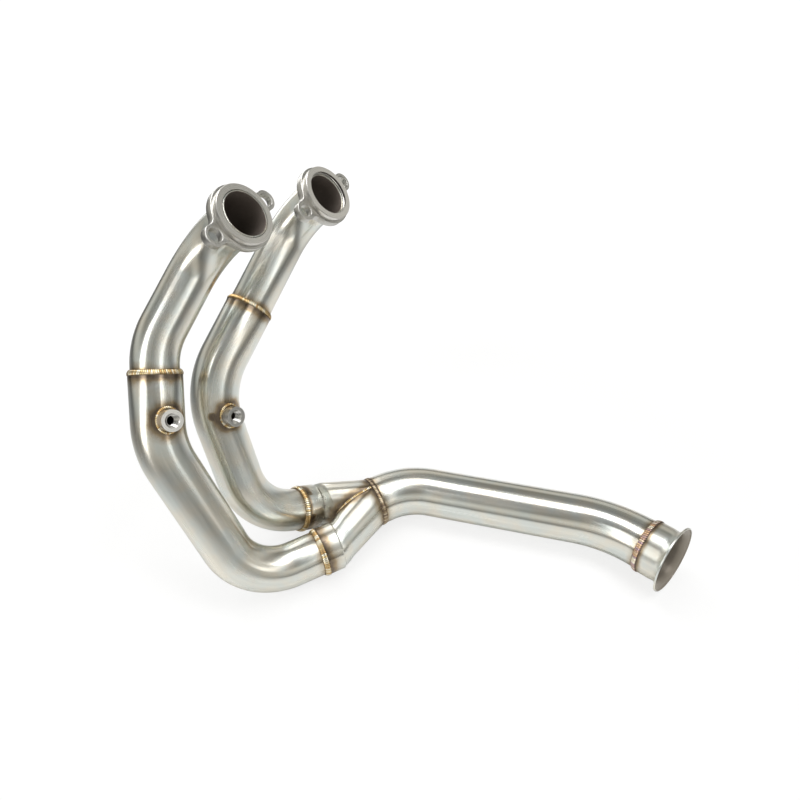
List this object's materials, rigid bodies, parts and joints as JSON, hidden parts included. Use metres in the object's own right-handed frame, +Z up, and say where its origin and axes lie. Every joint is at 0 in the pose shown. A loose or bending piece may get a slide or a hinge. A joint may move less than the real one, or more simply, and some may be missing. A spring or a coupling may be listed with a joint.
{
  "type": "decat exhaust header",
  "caption": "Exhaust header pipe whose head tubes swing down into a merge collector and run on as one straight-through pipe with a flared outlet, in place of a catalyst section.",
  "frame": {"origin": "middle of the footprint, on the floor that the lower bends, the collector and the outlet lip stand over", "axes": "+X rearward along the tail pipe, +Y toward the right header, +Z up"},
  "size_m": [0.5475, 0.3304, 0.4054],
  "materials": {
    "tube": "satin, heat tinted beside the welds",
    "weld": "rippled, straw coloured",
    "collar": "turned",
    "plate": "satin",
    "boss": "turned"
  },
  "bodies": {
    "header": {"left_upper_tube": "tube", "left_lower_tube": "tube", "right_upper_tube": "tube", "right_lower_tube": "tube", "left_collar": "collar", "right_collar": "collar", "left_collar_weld": "weld", "right_collar_weld": "weld", "left_joint_weld": "weld", "right_joint_weld": "weld", "left_sensor_boss": "boss", "right_sensor_boss": "boss", "left_boss_weld": "weld", "right_boss_weld": "weld", "left_collector_half": "tube", "right_collector_half": "tube", "merge_seam_weld": "weld", "left_inlet_weld": "weld", "right_inlet_weld": "weld", "collector_outlet_weld": "weld", "tail_pipe": "tube", "flare_weld": "weld", "outlet_flare": "tube"},
    "left_plate": {"left_flange_plate": "plate"},
    "right_plate": {"right_flange_plate": "plate"}
  },
  "joints": [
    {"name": "left_plate_turn", "type": "hinge", "parent": "header", "child": "left_plate", "pos_m": [-0.1987, -0.0038, 0.37429], "axis": [0.8039, 0, 0.5948], "continuous": true},
    {"name": "right_plate_turn", "type": "hinge", "parent": "header", "child": "right_plate", "pos_m": [-0.18823, 0.11389, 0.36015], "axis": [0.8039, 0, 0.5948], "continuous": true}
  ]
}
